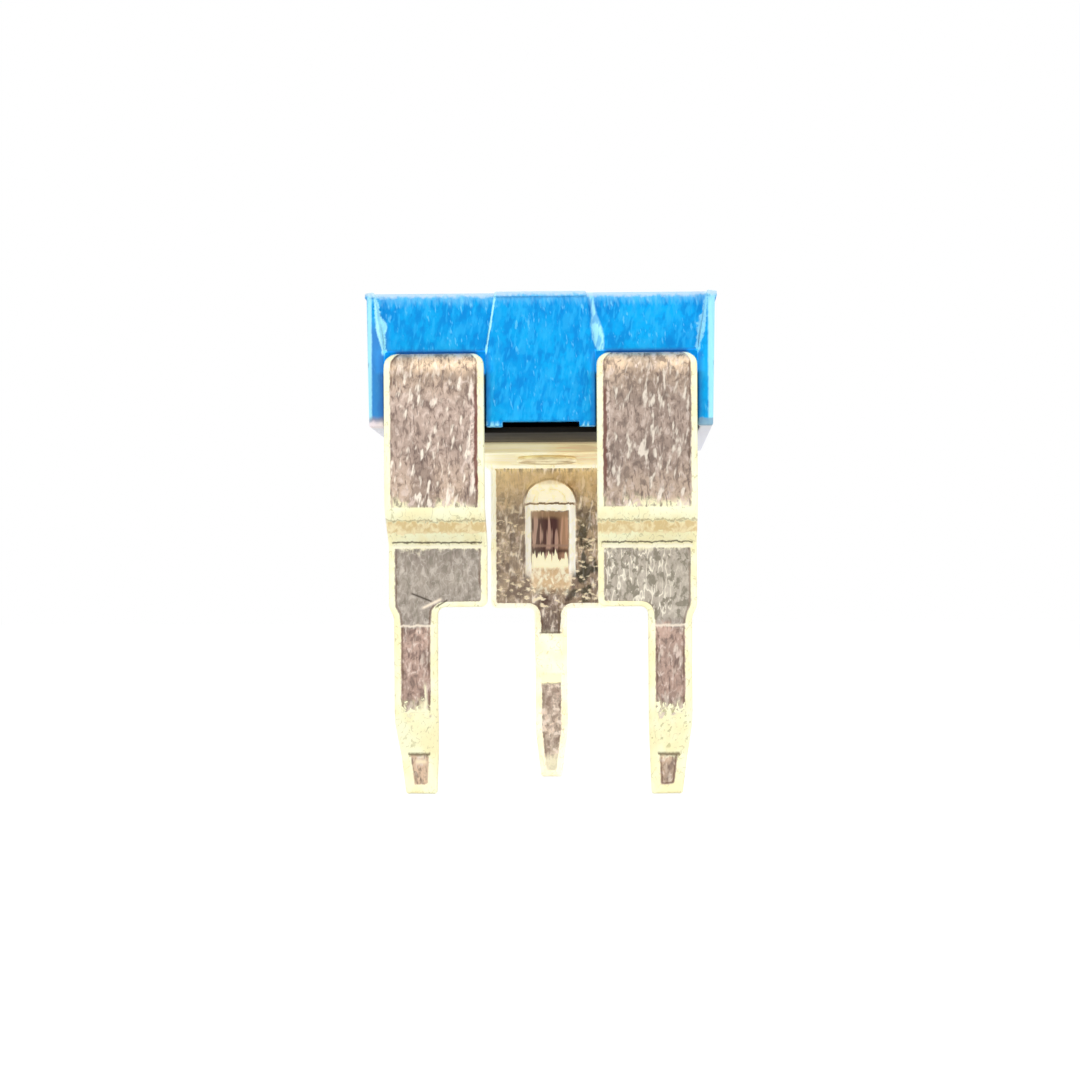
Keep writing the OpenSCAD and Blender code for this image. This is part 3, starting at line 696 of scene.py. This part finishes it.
# The tones hold painted light: a dark band of painted shade in the crease at the pin's bend, and the
# plate darker low down, painted shade where it stands back behind the front terminals and under the
# cover, growing paler up to the fold.
REAR_TONES = [(0.0, 255, 248, 214), (0.5, 250, 236, 208), (0.7, 208, 182, 162),
              (0.85, 212, 186, 166), (1.05, 255, 234, 216), (1.4, 252, 228, 210),
              (1.6, 210, 184, 172), (1.95, 204, 180, 168), (2.06, 240, 222, 200), (2.14, 255, 252, 214),
              (3.1, 255, 250, 212), (3.25, 122, 106, 92), (3.9, 168, 146, 123), (4.6, 192, 168, 140),
              (5.6, 208, 184, 150), (6.3, 230, 204, 158), (6.75, 244, 222, 168), (7.2, 255, 252, 210)]
drilled(rear_terminal, "centre_eyelet", EYELET_SHANK)
# Painted shade: a dark line in the crease where the plate bends into the pin.
REAR_LINES = [(3.16, 0.03, (96, 76, 58), 0.7)]
REAR_PALE = [(255, 255, 238), (255, 250, 214)]
rear_finish, rear_painted_sheen = tinned_finish("tinned_rear", REAR_TONES, greys=(9.0, 9.5), lines=REAR_LINES,
                                        top=9.0, narrow=-1.0, pale=REAR_PALE, marks=bead_marks)
# The table and the pins before it throw more light back on this piece than the lamps here give.
bounce = (rear_painted_sheen * 0.55).most(rear_finish.axis("Z").step(6.75 * MM, 6.95 * MM))
rear_finish.set(Emission_Color=rear_finish.mix(bounce, (0, 0, 0, 1), (255, 240, 196)),
                Emission_Strength=0.3)
paint(rear_terminal, rear_finish)
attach(rear_terminal, "base")
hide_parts("terminal_centre")

# The two front terminals, one at each end of the track: the same tin-plated sheet.
# Each tab lies on the silver paste, comes out under the cover's recess and turns down.
# The plate steps back to the board's grid, and the pin below it is kinked and pointed.
FRONT_ROW = -2.85 * MM
FRONT_PIN = 2.5 * MM
FRONT_PIN_HALF = 0.43 * MM
TIP_SHIFT = 0.07 * MM
CORNER = 0.16 * MM
BEND_RUN = 0.41 * MM
PLATE_LEAN = 0.15 * MM
PIN_LEAN = 0.05 * MM
FRONT_TAPER = 1.45 * MM
RIVET_SHANK = 0.35 * MM
front_low, front_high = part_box("terminal_right")
TAB_Z = front_high.z - SHEET / 2
TAB_END = front_high.y
PLATE_Y = -3.833 * MM
# From the side, as (y, z): tab, upper plate, slanted step, lower plate, pin, kink and tip
front_side = [(TAB_END, TAB_Z), (PLATE_Y, TAB_Z), (PLATE_Y + PLATE_LEAN, SEAT + 1.9 * MM),
              (FRONT_ROW, SEAT + 1.25 * MM), (FRONT_ROW, SEAT - 0.4 * MM),
              (FRONT_ROW + PIN_LEAN, 1.68 * MM), (FRONT_ROW + KINK, 0.8 * MM), (FRONT_ROW + KINK, 0)]
front_seat = along_at(front_side, SEAT)
bend_start = along_at(front_side, TAB_Z - BEND) - BEND_RUN
front_taper = along_at(front_side, FRONT_TAPER)
front_end = along_at(front_side, 0)
ROUND_CORNER = np.array([(-0.16, 0.02), (-0.1, 0.1), (-0.05, 0.16), (-0.015, 0.22), (0, 0.285)]) * MM


def front_edge(side, plate, drop, radii):
    """Flat outline of one side: tab, a corner that looks round once bent, plate, shoulder and pin.

    side is 1 for the outer edge and -1 for the inner one. drop is how much lower the shoulder ends
    at the pin, and radii round the shoulder's two corners."""
    corner = [(plate + side * x, bend_start + s) for x, s in ROUND_CORNER]
    pin = FRONT_PIN + side * FRONT_PIN_HALF
    tip = pin - side * TIP_LESS - TIP_SHIFT
    points = [(plate - side * CORNER, 0), *corner, (plate, front_seat), (pin, front_seat + drop),
              (pin, front_taper), (tip, front_end)]
    return points, np.array([0.03] + [0.1] * 4 + radii + [0.5]) * MM


inner_edge = front_edge(-1, front_low.x, 0, [0.14, 0.15])
outer_edge = front_edge(1, front_high.x, 0.2 * MM, [0.3, 0.3])
# The tones hold painted highlights: pale bands on the pin's kinked stretch and on the slanted step, which
# catch the light.
FRONT_TONES = [(0.0, 232, 204, 174), (0.72, 216, 188, 162), (0.76, 255, 252, 212),
               (1.7, 255, 251, 208), (1.88, 184, 156, 142), (2.7, 196, 168, 154),
               (3.26, 206, 176, 160), (3.36, 168, 158, 148), (4.2, 176, 166, 154),
               (4.82, 160, 150, 140), (4.9, 250, 244, 206), (5.62, 254, 250, 208),
               (5.76, 214, 190, 168), (6.6, 196, 174, 160), (7.6, 204, 182, 168),
               (8.1, 214, 190, 168), (8.35, 230, 204, 174), (8.6, 240, 218, 186)]
# Painted light along the bends: dark painted shade in the creases at the kink and at the foot of the
# slanted step, and pale painted glints on the bends at the pin's top and at the step's foot.
FRONT_LINES = [(0.79, 0.055, (110, 92, 62), 0.9), (3.33, 0.045, (246, 234, 216), 0.9),
               (4.89, 0.06, (252, 246, 222), 0.85), (4.965, 0.028, (72, 58, 34), 0.95)]
FRONT_PALE = [(255, 254, 216), (252, 244, 196)]


def scratch(x, z, start, end, width, fade=0.04):
    """A straight mark between two points of the front view: 1 on it, 0 beyond its width and ends."""
    dx, dz = end[0] - start[0], end[1] - start[1]
    length = math.hypot(dx, dz)
    along = (x - start[0]) * (dx / length) + (z - start[1]) * (dz / length)
    off = abs((x - start[0]) * (dz / length) - (z - start[1]) * (dx / length))
    return off.step(width, 0) * along.within(-fade, fade, length - fade, length + fade)


SCRATCHES = [((-2.58, 3.97), (-2.18, 3.81), 0.035, (74, 66, 58)),
             ((-2.10, 3.70), (-1.87, 3.84), 0.03, (74, 62, 50)),
             ((-2.36, 3.68), (-1.99, 3.86), 0.05, (255, 240, 218)),
             ((-2.55, 0.64), (-2.33, 0.64), 0.08, (250, 234, 200))]


def wear_marks(finish, colour, painted_sheen, height, blots):
    """The tan band of the slanted step, rubbed strips inside the inner rims, a cream run up the
    left pin, the left plate's scratches, duller and paler greys on the right, and pitted kinks with a
    painted highlight."""
    x, z = finish.axis("X") / MM, finish.axis("Z") / MM
    wave = height + 0.14 * (blots - 0.5)
    tan = finish.mix(blots.step(0.4, 0.62), (226, 198, 138), (252, 236, 190))
    upper = height.within(5.85, 6.1, 7.8, 8.1)
    rubbed = abs(x) + 0.08 * (blots - 0.5)
    run = (x + 0.14 * (blots - 0.5)).near(-2.31, 0.06) * height.step(2.25, 2.1)
    grey = height.within(3.4, 3.5, 4.8, 4.85) * (1 - painted_sheen)
    right = x.step(0, 1)
    worms = finish.grain((0.11, 0.4, 0.36), shift=(0, 0, 1.3), detail=1.0)
    pale = worms.near(0.52, 0.06) * blots.step(0.42, 0.5) * x.step(2.9, 2.3)
    dull = height.within(5.7, 5.9, 8.0, 8.3) * (1 - painted_sheen)
    kink = (height + 1.1 * (blots - 0.5)).step(1.73, 1.65) * height.step(1.3, 1.45) * (1 - painted_sheen)
    pits = finish.grain((0.09, 0.4, 0.13), turn=(0, 0.5, 0)).step(0.61, 0.66)
    colour = finish.over(
        colour,
        (wave.within(5.12, 5.16, 5.32, 5.36) * 0.9, tan),
        (wave.near(5.37, 0.035) * 0.65, (160, 136, 84)),
        (rubbed.near(1.32, 0.06) * upper * blots.step(0.44, 0.56) * 0.8, (252, 232, 220)),
        (abs(rubbed - 1.25).step(0.04, 0.02) * upper * 0.8, (120, 66, 58)),
        (run * height.step(1.5, 1.6) * 0.9, (255, 250, 216)),
        *((scratch(x, z, start, end, width) * 0.9, tone) for start, end, width, tone in SCRATCHES),
        (grey * right * 0.2, (236, 228, 206)),
        (grey * right * blots.step(0.49, 0.4) * 0.6, (126, 120, 104)),
        (grey * right * pale * 0.85, (252, 246, 228)),
        (dull * right * 0.2, (116, 110, 100)),
        # Painted highlight on the kinks, where they catch the light.
        (kink, (254, 250, 210)),
        (pits * height.within(0.88, 0.95, 1.65, 1.75) * (0.35 + 0.2 * right), (172, 166, 112)))
    return colour, painted_sheen.most(kink)


front_finish, _ = tinned_finish("tinned_front", FRONT_TONES, greys=(3.36, 4.9), lines=FRONT_LINES,
                                top=7.5, narrow=0.85, pale=FRONT_PALE, marks=wear_marks)
for side, flip in (("left", True), ("right", False)):
    terminal = stamped(
        side + "_terminal", front_side, inner_edge, outer_edge,
        stations=[0, bend_start - 0.1 * MM, bend_start + 0.6 * MM, front_seat - ABOVE_SHOULDER,
                  front_seat + BELOW_SHOULDER, front_taper, front_end],
        counts=[26, 16, 66, 44, 40, 26], columns=30, bulge=shoulder_bulge(3, SHOULDER_BULGE), flip=flip)
    drilled(terminal, "rivet_" + side, RIVET_SHANK)
    paint(terminal, front_finish)
    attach(terminal, "base")
    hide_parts("terminal_" + side)

# The two rivets and the centre eyelet: thin tin-plated brass, drawn and rolled over at both ends.
# The rivets press the front tabs on the silver paste.
# The eyelet holds the rear terminal, and the dial's pivot turns in its bore.


def turned(name, corners, radii, centre, steps=72):
    """A ring turned about an upright axis: a rounded closed profile, carried round a circle.

    The profile is given as (radius, height) corners. A point at angle a is at the centre plus
    its radius times the cosine and sine of a, at its own height."""
    corners = np.array(corners) * MM
    start = (corners[-1] + corners[0]) / 2
    line, _ = rounded([start, *corners, start], np.array(radii) * MM, 0.03 * MM)
    r, z = line[:-1, 0][:, None], line[:-1, 1][:, None]
    a = np.linspace(0, 2 * math.pi, steps, endpoint=False)[None, :]
    ring = np.stack([centre[0] + r * np.cos(a), centre[1] + r * np.sin(a), z + 0 * a], axis=-1)
    index = np.arange(r.size * steps).reshape(r.size, steps)
    index = np.pad(index, ((0, 1), (0, 1)), mode="wrap")
    return add_mesh(name, ring, quads(index))


def brass_finish():
    finish = new_finish("tinned_brass", Metallic=0.75)
    marks = finish.grain((0.3, 0.3, 0.05), detail=3.0)
    specks = finish.grain((0.05,) * 3, detail=3.0)
    colour = finish.mix(marks.step(0.35, 0.7), (250, 240, 200), (222, 200, 156))
    colour = finish.mix(specks.step(0.6, 0.8) * 0.5, colour, (168, 142, 106))
    finish.set(Base_Color=colour, Roughness=0.25 + 0.25 * specks,
               Normal=finish.bump(marks + 0.5 * specks, 0.004 * MM))
    return finish


brass = brass_finish()
ROLLED, SHARP, FOOT = 0.09, 0.045, 0.02
RING_RADII = [ROLLED, SHARP, SHARP, FOOT, FOOT, SHARP, SHARP, ROLLED]


def rolled_ring(name, node, bore, shank, low_r, top_r, flange=0.12):
    """A hollow rivet in a node's place: bore, shank, and a rolled flange at each end."""
    low_point, high_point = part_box(node)
    centre = (low_point + high_point) / 2
    low_z, top_z = low_point.z / MM, high_point.z / MM
    corners = [(bore, low_z), (low_r, low_z), (low_r, low_z + flange), (shank, low_z + flange),
               (shank, top_z - flange), (top_r, top_z - flange), (top_r, top_z), (bore, top_z)]
    piece = turned(name, corners, RING_RADII, centre)
    paint(piece, brass)
    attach(piece, "base")
    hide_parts(node)


rolled_ring("centre_ring", "centre_eyelet", bore=0.38, shank=EYELET_SHANK / MM, low_r=0.62, top_r=1.12)
for side in ("left", "right"):
    rolled_ring("hollow_rivet_" + side, "rivet_" + side, bore=0.2, shank=RIVET_SHANK / MM,
                low_r=0.58, top_r=0.58)

# The wiper: a spring of thin bronze sheet, stamped with three fingers and an inner tongue.
# Two melted studs of the dial hold it, and it turns with the dial.
# It sits inside the cover, where light hardly reaches, so the solid only gets its finish.


def bronze_finish():
    finish = new_finish("spring_bronze", Metallic=0.9)
    rolled = finish.grain((0.03, 0.8, 0.3), detail=3.0)
    stains = finish.grain((0.5,) * 3)
    colour = finish.mix(stains.step(0.4, 0.7), (222, 178, 108), (190, 140, 84))
    finish.set(Base_Color=colour, Roughness=0.25 + 0.2 * rolled,
               Normal=finish.bump(rolled, 0.003 * MM))
    return finish


paint(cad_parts["wiper"], bronze_finish())

# The dial: moulded in white plastic, with a cross slot for a screwdriver and an arrow head.
# It turns in the cover's round opening, held from below by its flange.
DIAL_EDGE = 0.035 * MM


def dial_finish():
    finish = new_finish("white_dial")
    flow = finish.grain((1.2, 1.2, 0.6), warp=0.6)
    matt = finish.grain((0.035,) * 3)
    flat = finish.node("VectorMath", {"operation": "MULTIPLY"}, {0: finish.place(), 1: (1, 1, 0)})
    radius = finish.node("VectorMath", {"operation": "LENGTH"}, {0: flat}, "Value") / MM
    # Painted shade: the sunken middle is darker.
    sunk = finish.axis("Z").step(9.71 * MM, 9.35 * MM) * radius.step(1.95, 1.85)
    colour = finish.over(finish.mix(flow.step(0.35, 0.65), (240, 237, 226), (230, 226, 212)),
                         (radius.near(2.2, 0.12) * 0.5, (214, 208, 192)),
                         (sunk * 0.35, (190, 184, 168)))
    finish.set(Base_Color=colour, Roughness=0.4 + 0.2 * matt,
               Normal=finish.bump(matt, 0.004 * MM, 0.5))
    return finish


dial = softened("dial_face", "rotor", DIAL_EDGE)
paint(dial, dial_finish())
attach(dial, "dial")

# The cover: one moulding in bright blue plastic, open below, that holds the dial down.
# Its front has a tapered recess over each terminal, and its long use shows in fine scratches.
# Stress has whitened the recesses' slanting edges. Two posts are melted over under the board.
COVER_EDGE = 0.035 * MM
# Places on the cover, in millimetres
SKIRT_RISE = 0.1
TAB_MIDDLE = 2.06
RECESS_FOOT = 8.63
OUTER_SLANT, INNER_SLANT = 3.05, 1.07
SLANT = 0.19 / 1.14
cover_low, cover_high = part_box("housing")


def cover_finish():
    finish = new_finish("blue_cover", Specular_IOR_Level=0.1)
    x, y, z = (finish.axis(name) / MM for name in "XYZ")
    top, foot, half = cover_high.z / MM, cover_low.z / MM + SKIRT_RISE, cover_high.x / MM
    across = abs(x)
    off_tab = abs(across - TAB_MIDDLE)
    front = y.step(-3.3, -3.4)
    right = x.step(-0.1, 0.1)
    clouds = finish.grain((0.9, 0.9, 0.7))
    rough = finish.grain((0.10,) * 3, detail=3.0, roughness=0.6)
    patches = finish.grain((0.2, 0.2, 0.35), turn=(0, 0.12, 0))
    scuffs = finish.grain((0.07, 0.07, 0.3), turn=(0.06, 0.16, 0))
    strokes = finish.grain((0.06, 0.06, 0.22), turn=(0.1, -0.12, 0), shift=(2.1, 0.7, 0))
    # Painted light: the blue a shade lighter towards the right.
    blue_lit_right = finish.mix(x.step(-1.0, 3.0), (0, 162, 230), (0, 168, 238))
    # Painted shade: darker at the lower left end of the front.
    left = x.step(-2.9, -3.1) * front * z.step(9.5, 9.0)
    shade = off_tab.near(1.0, 0.13) * z.step(8.72, 8.55) * front
    # Painted shade: a dark band over each tab, under the recess.
    over_tab = z.near(8.68, 0.07) * front * off_tab.step(1.0, 0.9)
    lean = SLANT * (z - RECESS_FOOT)
    wobble = 0.14 * (rough - 0.5) + 0.05 * (scuffs - 0.5)
    outer = across - OUTER_SLANT - lean + wobble
    inner = across - INNER_SLANT + lean + 0.3 * wobble
    blotchy = rough.step(0.36, 0.56)
    thick = 0.025 + 0.045 * z.near(9.15, 0.4)
    outer_line = (abs(outer + 0.01) - thick).step(0.03, -0.01)
    outer_line = outer_line * (0.75 + 0.25 * blotchy) * (1 - 0.35 * right)
    aside, aloft = (outer + 0.08) / 0.06, (z - 9.2) / 0.13
    blob = (aside * aside + aloft * aloft + 3.0 * (rough - 0.5)).step(1.3, 0.5) * 0.8 * (1 - right)
    inner_thin = abs(inner).step(0.035, 0.015) * (1 - right)
    fan = (abs(inner - 0.1) - 0.02 - 0.07 * z.near(9.0, 0.5)).step(0.05, 0.0)
    fan = fan * right * (0.45 + 0.55 * scuffs.step(0.4, 0.56))
    slants = outer_line.most(inner_thin).most(fan).most(blob) * front * z.step(8.57, 8.65)
    ragged = z + 0.1 * (rough - 0.5)
    skirt = ragged.step(foot + 0.12, foot + 0.03) * scuffs.step(0.4, 0.6)
    reach = 0.035 + 0.035 * right
    sides = (abs(half - 0.1 - across + 0.03 * (rough - 0.5)) - reach).step(0.03, -0.01) * front
    whitened = slants.most(skirt * y.step(-2.5, -3.3) * 0.7).most(sides * 0.8)
    # Painted shade: the front's lower corners are greyer, where they round away into shadow.
    low_corner = across.step(2.98, 3.08) * front
    corner_shade = ragged.step(foot + 0.24 - 0.08 * right, foot + 0.12) * low_corner
    # Pale, near white, along the bottom of the left corner.
    pale_left_corner = ragged.step(foot + 0.15, foot + 0.05) * low_corner * (1 - right)
    # Painted highlight: the top of the front is a lighter blue, with a ragged lower edge.
    ragged_highlight = (z + 0.45 * (strokes - 0.5)).step(top - 0.3, top) * front
    # Painted highlight: a pale line along the top edges.
    rim_band = z.step(top - 0.002, top - 0.014) * front
    top_edge_highlight = across.step(half - 0.2, half - 0.08).most(y.step(-3.61, -3.67)).most(rim_band)
    top_edge_highlight = (z + 0.16 * (rough - 0.5)).step(top - 0.11, top - 0.03) * top_edge_highlight
    # Pale, near white, along the bottom edge of both lower corners.
    pale_corner = across.step(2.9, 3.0) * y.step(-3.66, -3.3) * z.step(foot + 0.05, foot + 0.01)
    colour = finish.over(
        finish.mix(clouds.step(0.35, 0.68), blue_lit_right, (0, 148, 222)),
        (rough.step(0.45, 0.65) * 0.35, (0, 126, 210)),
        (patches.step(0.5, 0.36) * 0.6, (0, 124, 204)),
        (patches.step(0.52, 0.66) * 0.35, (52, 180, 238)),
        (scuffs.step(0.5, 0.66) * 0.6, (40, 176, 240)),
        (strokes.step(0.62, 0.72) * 0.6, (104, 200, 246)),
        (left * 0.75, (66, 132, 204)),
        (shade * 0.5, (50, 92, 178)),
        (over_tab * 0.6, (44, 84, 160)),
        (whitened, (176, 242, 255)),
        (corner_shade * 0.85, finish.mix(right, (150, 146, 160), (132, 164, 188))),
        (pale_left_corner * 0.9, (244, 230, 234)),
        (ragged_highlight * 0.55, (132, 206, 242)),
        (top_edge_highlight * 0.7, (206, 222, 232)),
        (pale_corner * 0.85, (248, 242, 244)))
    # Light that finds its way into the passage over each front tab
    passage = y.within(-3.66, -3.6, -2.0, -1.5) * z.within(8.2, 8.3, 8.68, 8.72) * off_tab.step(1.2, 1.1)
    gleam = finish.mix(off_tab.step(0.74, 0.86), (26, 78, 136), (14, 138, 212))
    finish.set(Base_Color=colour, Roughness=0.42 + 0.25 * whitened + 0.12 * scuffs,
               Emission_Color=finish.mix(passage, (0, 0, 0, 1), gleam), Emission_Strength=1.0,
               Normal=finish.bump(scuffs * 0.6 + strokes * 0.5 + rough * 0.5, 0.008 * MM, 0.6))
    return finish


cover = softened("cover", "housing", COVER_EDGE)
paint(cover, cover_finish())
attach(cover, "base")

# The table: a wide white surface under the pin tips. It keeps the part's soft shadow, and the
# camera, mirrors and glass see it close to white. From below the camera looks through it.
TABLE_HALF = 1.5
corners = np.array([(-1, -1, 0), (1, -1, 0), (1, 1, 0), (-1, 1, 0)], float) * TABLE_HALF
table = add_mesh("table", corners, np.array([[0, 1, 2, 3]]))


def ray(finish, kind):
    """1 for the rays of one kind: Camera, Glossy or Transmission."""
    return finish.node("LightPath", output="Is " + kind + " Ray")


def grey(level):
    """A linear grey with full alpha."""
    return (level, level, level, 1)


def table_finish():
    finish = Finish(bpy.data.materials.new("white_table"))
    pale = finish.mix(finish.grain((400,) * 3), grey(0.34), grey(0.36))
    shaded = finish.node("BsdfDiffuse", {}, {"Color": pale})
    glow = finish.node("Emission", {}, {"Color": grey(1), "Strength": 0.72})
    shown = finish.node("AddShader", {}, {0: shaded, 1: glow})
    plain = finish.node("BsdfDiffuse", {}, {"Color": grey(0.82)})
    seen = ray(finish, "Camera").most(ray(finish, "Glossy")).most(ray(finish, "Transmission"))
    surface = finish.node("MixShader", {}, {0: seen, 1: plain, 2: shown})
    clear = finish.node("BsdfTransparent")
    below = finish.node("NewGeometry", output="Backfacing") * ray(finish, "Camera")
    surface = finish.node("MixShader", {}, {0: below, 1: surface, 2: clear})
    output = finish.tree.nodes["Material Output"]
    finish.tree.links.new(surface.socket, output.inputs["Surface"])
    return finish


paint(table, table_finish())

# The light: an even white room, which metal sees as bright above and as a warm grey at eye level.
# One large soft lamp stands over the left shoulder, a weaker one on the right, and one behind.


def light_room():
    world = bpy.data.worlds.new("room")
    bpy.context.scene.world = world
    finish = Finish(world)
    level = abs(finish.axis("Z")).step(0.42, 0.12)
    mirrored = finish.mix(level, (1.0, 0.99, 0.95, 1), (0.56, 0.50, 0.47, 1))
    colour = finish.mix(ray(finish, "Glossy"), grey(0.86), mirrored)
    colour = finish.mix(ray(finish, "Camera").most(ray(finish, "Transmission")), colour, grey(1))
    background = finish.tree.nodes["Background"]
    finish.feed(background.inputs["Color"], colour)
    background.inputs["Strength"].default_value = 1.0


light_room()
AIM = (cad_box[0] + cad_box[1]) / 2
LAMP_SIZE = 0.1
for name, place, power in (("key_lamp", (-0.07, -0.11, 0.11), 0.09),
                           ("fill_lamp", (0.11, -0.09, 0.06), 0.045),
                           ("back_lamp", (0.03, 0.12, 0.10), 0.06)):
    light = bpy.data.lights.new(name, "AREA")
    light.size = LAMP_SIZE
    light.energy = power
    lamp = add_object(name, light)
    lamp.location = place
    lamp.rotation_euler = (AIM - lamp.location).to_track_quat("-Z", "Y").to_euler()

# The camera: close in front of the part, a little to its right and below its middle.
# It has a portrait lens, and looks up and to the left.
LENS = 76.2
SENSOR = 36
CAMERA_PLACE = (1.565 * MM, -47.85 * MM, 3.468 * MM)
TILT_UP = math.radians(1.967)
TURN_LEFT = math.radians(2.056)
ROLL = math.radians(-0.229)
view = bpy.data.cameras.new("camera")
view.lens = LENS
view.sensor_width = SENSOR
view.sensor_fit = "HORIZONTAL"
view.clip_start = 1 * MM
camera = add_object("camera", view)
camera.location = CAMERA_PLACE
aim = (Matrix.Rotation(TURN_LEFT, 3, "Z") @ Matrix.Rotation(math.pi / 2 + TILT_UP, 3, "X")
       @ Matrix.Rotation(ROLL, 3, "Z"))
camera.rotation_euler = aim.to_euler()
bpy.context.scene.camera = camera
bpy.context.scene.view_settings.view_transform = "Standard"
